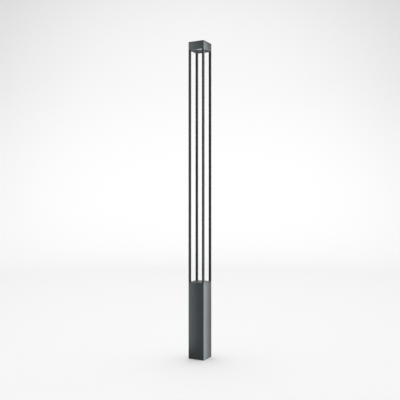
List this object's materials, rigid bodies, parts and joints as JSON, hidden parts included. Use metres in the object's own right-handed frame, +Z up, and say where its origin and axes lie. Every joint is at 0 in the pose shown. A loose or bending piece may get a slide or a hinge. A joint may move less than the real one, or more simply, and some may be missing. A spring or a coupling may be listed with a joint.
{
  "type": "bollard light",
  "caption": "Slim square bollard light: base column, open lantern of four corner posts and a cap whose LED module shines down onto the flat deck.",
  "frame": {"origin": "centre of the foot, on the ground", "axes": "+Z up along the post, -Y out of the front face, +Y out of the face with the retaining screws"},
  "size_m": [0.065, 0.065, 1.2],
  "materials": {
    "powder_coat": "aluminium under a fine matt anthracite powder coat",
    "galvanised_steel": "hot-dip galvanised",
    "black_epdm": "moulded",
    "stainless_steel": "plain",
    "zinc_plated_steel": "bright zinc",
    "opal_acrylic": "satin opal",
    "board_white": "white solder mask",
    "led_phosphor": "phosphor under clear silicone",
    "thermal_silicone": "soft grey",
    "driver_case": "moulded light grey",
    "polyamide": "natural white",
    "cable_jacket": "matt black jacket",
    "red_insulation": "smooth",
    "black_insulation": "smooth",
    "brown_insulation": "smooth",
    "blue_insulation": "smooth",
    "green_insulation": "green with a yellow stripe",
    "tinned_copper": "tinned"
  },
  "bodies": {
    "root": {"foot_gasket": "black_epdm", "ground_plate": "galvanised_steel", "plate_upstand": "galvanised_steel", "cable_grommet": "black_epdm", "base_column": "powder_coat", "column_screws": "stainless_steel", "deck_gasket": "black_epdm", "deck": "powder_coat", "deck_screws": "stainless_steel", "post_front_left": "powder_coat", "post_front_right": "powder_coat", "post_rear_right": "powder_coat", "post_rear_left": "powder_coat", "tie_rods": "stainless_steel", "cap_body": "powder_coat", "cap_gasket": "black_epdm", "cap_lid": "powder_coat", "lid_screws": "stainless_steel", "thermal_pad": "thermal_silicone", "led_board": "board_white", "led_chips": "led_phosphor", "board_screws": "stainless_steel", "lens": "opal_acrylic", "lens_bezel": "powder_coat", "bezel_gasket": "black_epdm", "bezel_screws": "stainless_steel", "led_cable": "cable_jacket", "cable_connector": "polyamide", "led_lead_positive": "red_insulation", "led_lead_negative": "black_insulation", "driver_tray": "zinc_plated_steel", "tray_screws": "zinc_plated_steel", "led_driver": "driver_case", "driver_screws": "zinc_plated_steel", "terminal_block": "polyamide", "terminal_fixing_screws": "zinc_plated_steel", "terminal_clamp_screws": "stainless_steel", "wire_live": "brown_insulation", "wire_neutral": "blue_insulation", "wire_earth": "green_insulation", "earth_lug": "tinned_copper", "earth_screw": "zinc_plated_steel"}
  },
  "joints": []
}
